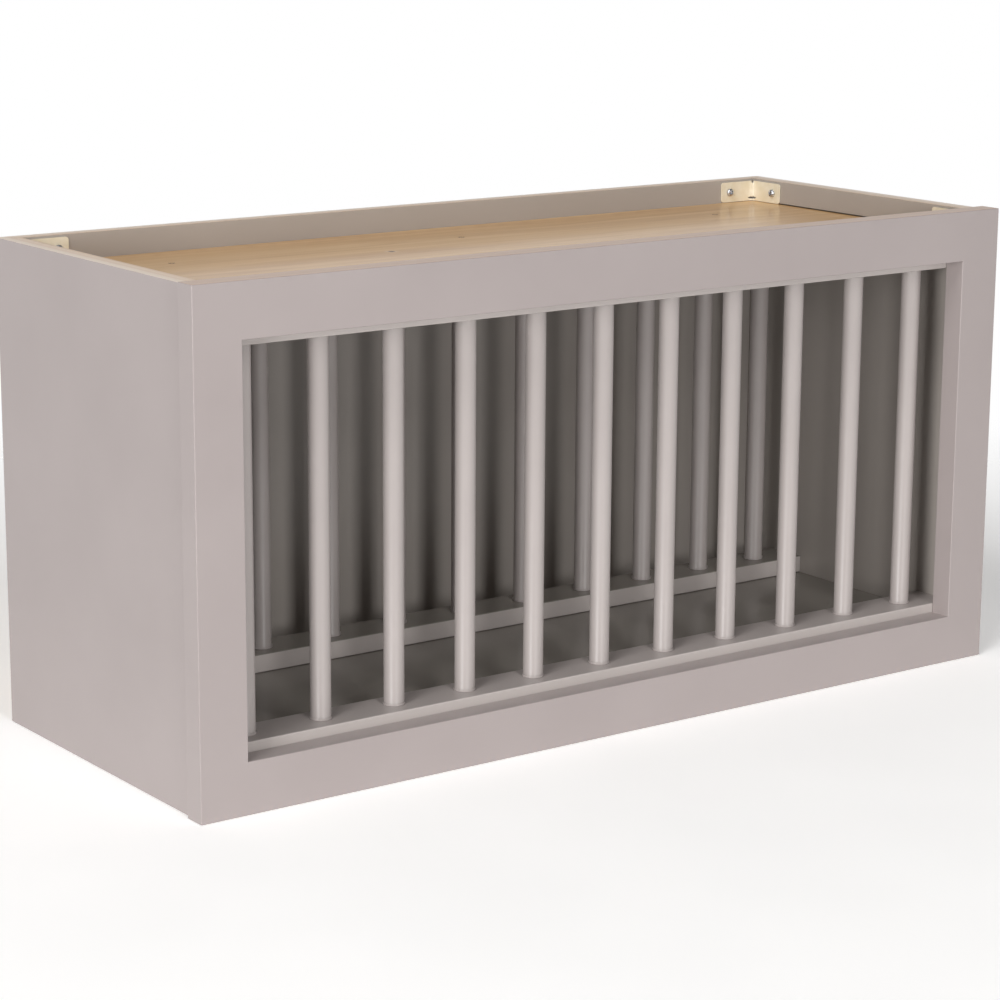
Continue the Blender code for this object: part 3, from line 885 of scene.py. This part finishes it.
first_low, first_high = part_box("front_dowel_01")
pattern = model_dowel((first_high.x - first_low.x) / 2)
dowel_nodes = sorted(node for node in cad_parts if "_dowel_0" in node or "_dowel_1" in node)
for node in dowel_nodes:
    low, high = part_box(node)
    dowel = pattern.copy()
    dowel.data = pattern.data.copy()
    bpy.context.scene.collection.objects.link(dowel)
    dowel.data.transform(Matrix.Translation(((low.x + high.x) / 2, (low.y + high.y) / 2, 0)))
    hand_over(dowel, "lacquered_" + node, "painted_wood", [thin_lacquer], node)
bpy.data.objects.remove(pattern, do_unlink=True)
print(len(dowel_nodes), "dowels")

# %% [markdown]
# ## Corner brackets
#
# Each bracket is a strip of sheet steel, folded round the corner, with rounded free
# corners, a round relief hole at the top of the fold and a flat slot at its foot. It is
# modelled as a sheet without thickness: one wing is a plane, its edge is extruded to the
# fold and on to the second wing, the fold is bevelled, and the free corners are rounded.
# Solidify then gives the steel its thickness.

# %% Bracket
STEEL = 1.4 * MM
FOLD_RADIUS = 5.5 * MM
CORNER_RADIUS = 2.6 * MM
RELIEF_HOLE = (1.9 * MM, 1.9 * MM)
RELIEF_DROP = 1.1 * MM
FOOT_SLOT = (7.2 * MM, 1.9 * MM)
FOOT_RISE = 2.7 * MM
BEND_STEPS = 6
HOLE_SIDES = 20
CUTTER_REACH = 8 * STEEL
ENAMEL_ARRIS = 0.3 * MM


def model_bracket(wing, height):
    """A bracket folded at the origin, with wings along +X and +Y."""
    bpy.ops.object.select_all(action="DESELECT")
    bpy.ops.mesh.primitive_plane_add(size=1, rotation=(math.radians(90), 0, 0),
                                     location=(wing / 2, 0, height / 2))
    piece = bpy.context.object
    piece.scale = (wing, height, 1)
    bpy.ops.object.transform_apply(location=True, rotation=True, scale=True)
    open_for_edit(piece)
    pick(piece, "EDGE", lambda edge: all(vert.co.x < STEEL for vert in edge.verts))
    bpy.ops.mesh.extrude_region_move(TRANSFORM_OT_translate={"value": (0, wing, 0)})

    def in_fold(edge):
        """True for the edge that the two wings share."""
        return all(vert.co.x < STEEL and vert.co.y < STEEL for vert in edge.verts)

    pick(piece, "EDGE", in_fold)
    bpy.ops.mesh.bevel(offset=FOLD_RADIUS, segments=BEND_STEPS, profile=0.5, affect="EDGES")

    def free_corner(vert):
        """True for a corner at a wing's free end."""
        return max(vert.co.x, vert.co.y) > wing - STEEL

    pick(piece, "VERT", free_corner)
    bpy.ops.mesh.bevel(offset=CORNER_RADIUS, segments=BEND_STEPS, profile=0.5, affect="VERTICES")
    bpy.ops.mesh.select_all(action="SELECT")
    bpy.ops.mesh.normals_make_consistent(inside=False)
    bpy.ops.object.mode_set(mode="OBJECT")
    steel = piece.modifiers.new("steel", "SOLIDIFY")
    steel.thickness = STEEL
    steel.offset = 0
    bpy.ops.object.modifier_apply(modifier="steel")
    return piece


def bracket_cutters(height):
    """The relief hole at the top of the fold and the slot at its foot."""
    inner = FOLD_RADIUS * (1 - math.cos(math.radians(45)))
    across = Vector((1, 1, 0)).to_track_quat("Z", "Y").to_euler()
    cutters = []
    for level, size in ((height - RELIEF_DROP, RELIEF_HOLE), (FOOT_RISE, FOOT_SLOT)):
        bpy.ops.object.select_all(action="DESELECT")
        bpy.ops.mesh.primitive_cylinder_add(vertices=HOLE_SIDES, radius=0.5, depth=CUTTER_REACH,
                                            location=(inner, inner, level), rotation=across)
        cutter = bpy.context.object
        cutter.scale = (*size, 1)
        cutters.append(cutter)
    return cutters


wing = bracket_high.x - bracket_low.x - STEEL
bracket_height = bracket_high.z - bracket_low.z
bracket_pattern = model_bracket(wing, bracket_height)
for cutter in bracket_cutters(bracket_height):
    cut_away(bracket_pattern, cutter)
round_arrises(bracket_pattern, ENAMEL_ARRIS, segments=2)
print("bracket:", len(bracket_pattern.data.polygons), "faces")

# %% [markdown]
# The same bracket stands in all four corners. Each copy is turned about the vertical and
# moved in its mesh, so the object itself stays at the origin.

# %% Four brackets
BRACKETS = [
    ("front_left_bracket", 0),
    ("front_right_bracket", 90),
    ("rear_right_bracket", 180),
    ("rear_left_bracket", 270),
]


def place_bracket(node, degrees):
    """Turn and move a copy of the bracket into its corner."""
    low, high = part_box(node)
    corner = Vector((low.x if degrees in (0, 270) else high.x,
                     low.y if degrees in (0, 90) else high.y, low.z))
    turned = Matrix.Rotation(math.radians(degrees), 4, "Z")
    proud = turned @ Vector((STEEL / 2, STEEL / 2, 0))
    copy = bracket_pattern.copy()
    copy.data = bracket_pattern.data.copy()
    bpy.context.scene.collection.objects.link(copy)
    copy.data.transform(Matrix.Translation(corner + proud) @ turned)
    return hand_over(copy, "enamelled_" + node, "enamelled_brackets", [enamel], node)


for bracket_node, bracket_turn in BRACKETS:
    place_bracket(bracket_node, bracket_turn)
bpy.data.objects.remove(bracket_pattern, do_unlink=True)
print(len(BRACKETS), "brackets")

# %% [markdown]
# ## Screws
#
# A pan head screw stands on each wing, and flat head screws lie flush in the top and bottom
# panels. Both have a cross recess. The head starts as a cylinder, its rim is bevelled, and
# two thin blocks cut the cross.

# %% Screw heads
RECESS_WIDTH = 1.0 * MM
RECESS_SHARE = 0.62
HEAD_SIDES = 32
RIM_STEPS = 4


def cross_blocks(radius, top, depth):
    """Two crossed blocks that cut a driver recess from the top down."""
    reach = radius * RECESS_SHARE
    half = RECESS_WIDTH / 2
    return [
        add_block((-reach, -half, top - depth), (reach, half, top + depth)),
        add_block((-half, -reach, top - depth), (half, reach, top + depth)),
    ]


def model_screw(radius, height, shank, length, rim):
    """A screw on the Z axis, its head's seat at the origin and its tip downwards."""
    bpy.ops.object.select_all(action="DESELECT")
    bpy.ops.mesh.primitive_cylinder_add(vertices=HEAD_SIDES, radius=radius, depth=height,
                                        location=(0, 0, height / 2))
    piece = bpy.context.object
    bpy.ops.object.transform_apply(location=True, rotation=True, scale=True)
    open_for_edit(piece)

    def top_rim(edge):
        """True for an edge of the head's upper rim."""
        return all(vert.co.z > height / 2 for vert in edge.verts)

    pick(piece, "EDGE", top_rim)
    bpy.ops.mesh.bevel(offset=rim, segments=RIM_STEPS, profile=0.5, affect="EDGES")
    pick(piece, "FACE", lambda face: face.normal.z < -FLAT_ON)
    bpy.ops.mesh.inset(thickness=radius - shank)
    bpy.ops.mesh.extrude_region_move(TRANSFORM_OT_translate={"value": (0, 0, -length)})
    bpy.ops.mesh.merge(type="CENTER")
    bpy.ops.object.mode_set(mode="OBJECT")
    for cutter in cross_blocks(radius, height, height * RECESS_SHARE):
        cut_away(piece, cutter)
    bpy.ops.object.select_all(action="DESELECT")
    bpy.context.view_layer.objects.active = piece
    piece.select_set(True)
    bpy.ops.object.shade_smooth_by_angle(angle=SMOOTH_UNDER)
    return piece


# %% [markdown]
# A screw's own box in the construction tells where it sits and which way it was driven: it
# is longest along its axis, and its head is at the end that lies in the open.

# %% Set the screws
TURN_STEP_DEGREES = 37


def screw_seat(node, head_height):
    """Where the head's seat is, and the direction from the tip to the head."""
    low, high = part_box(node)
    middle = (low + high) / 2
    size = high - low
    axis = max(range(3), key=lambda number: size[number])
    outward = Vector((0, 0, 0))
    if axis == 2:
        outward.z = math.copysign(1, middle.z - side_high.z / 2)
    else:
        outward[axis] = -math.copysign(1, middle[axis])
    end = Vector(middle)
    end[axis] += outward[axis] * size[axis] / 2
    return end - outward * head_height, outward


def set_screws(pattern, nodes, head_height, metal):
    """Stand a copy of a screw on each node's place, each turned a little further."""
    for number, node in enumerate(nodes):
        seat, outward = screw_seat(node, head_height)
        turn_about = Matrix.Rotation(math.radians(TURN_STEP_DEGREES * number), 4, "Z")
        lean = Vector((0, 0, 1)).rotation_difference(outward).to_matrix().to_4x4()
        screw = pattern.copy()
        screw.data = pattern.data.copy()
        bpy.context.scene.collection.objects.link(screw)
        screw.data.transform(Matrix.Translation(seat) @ lean @ turn_about)
        hand_over(screw, "plated_" + node, "plated_screws", [metal], node)
    bpy.data.objects.remove(pattern, do_unlink=True)


HEAD_SHARE = 0.85
SHANK = 1.6 * MM
PAN_HEIGHT = 2.2 * MM
PAN_LENGTH = 10 * MM
PAN_RIM = 1.2 * MM
FLAT_HEIGHT = 2.4 * MM
FLAT_LENGTH = 16 * MM
FLAT_RIM = 0.3 * MM
pan_nodes = sorted(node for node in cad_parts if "bracket_screw" in node)
flat_nodes = sorted(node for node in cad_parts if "rail_screw" in node)
pan_low, pan_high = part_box(pan_nodes[0])
flat_low, flat_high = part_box(flat_nodes[0])
pan_radius = (pan_high.z - pan_low.z) / 2
flat_radius = (flat_high.x - flat_low.x) / 2
pan_screw = model_screw(pan_radius * HEAD_SHARE, PAN_HEIGHT, SHANK, PAN_LENGTH, PAN_RIM)
set_screws(pan_screw, pan_nodes, PAN_HEIGHT, zinc)
flat_screw = model_screw(flat_radius * HEAD_SHARE, FLAT_HEIGHT, SHANK, FLAT_LENGTH, FLAT_RIM)
set_screws(flat_screw, flat_nodes, FLAT_HEIGHT, phosphate)
print(len(pan_nodes), "pan heads and", len(flat_nodes), "flat heads")
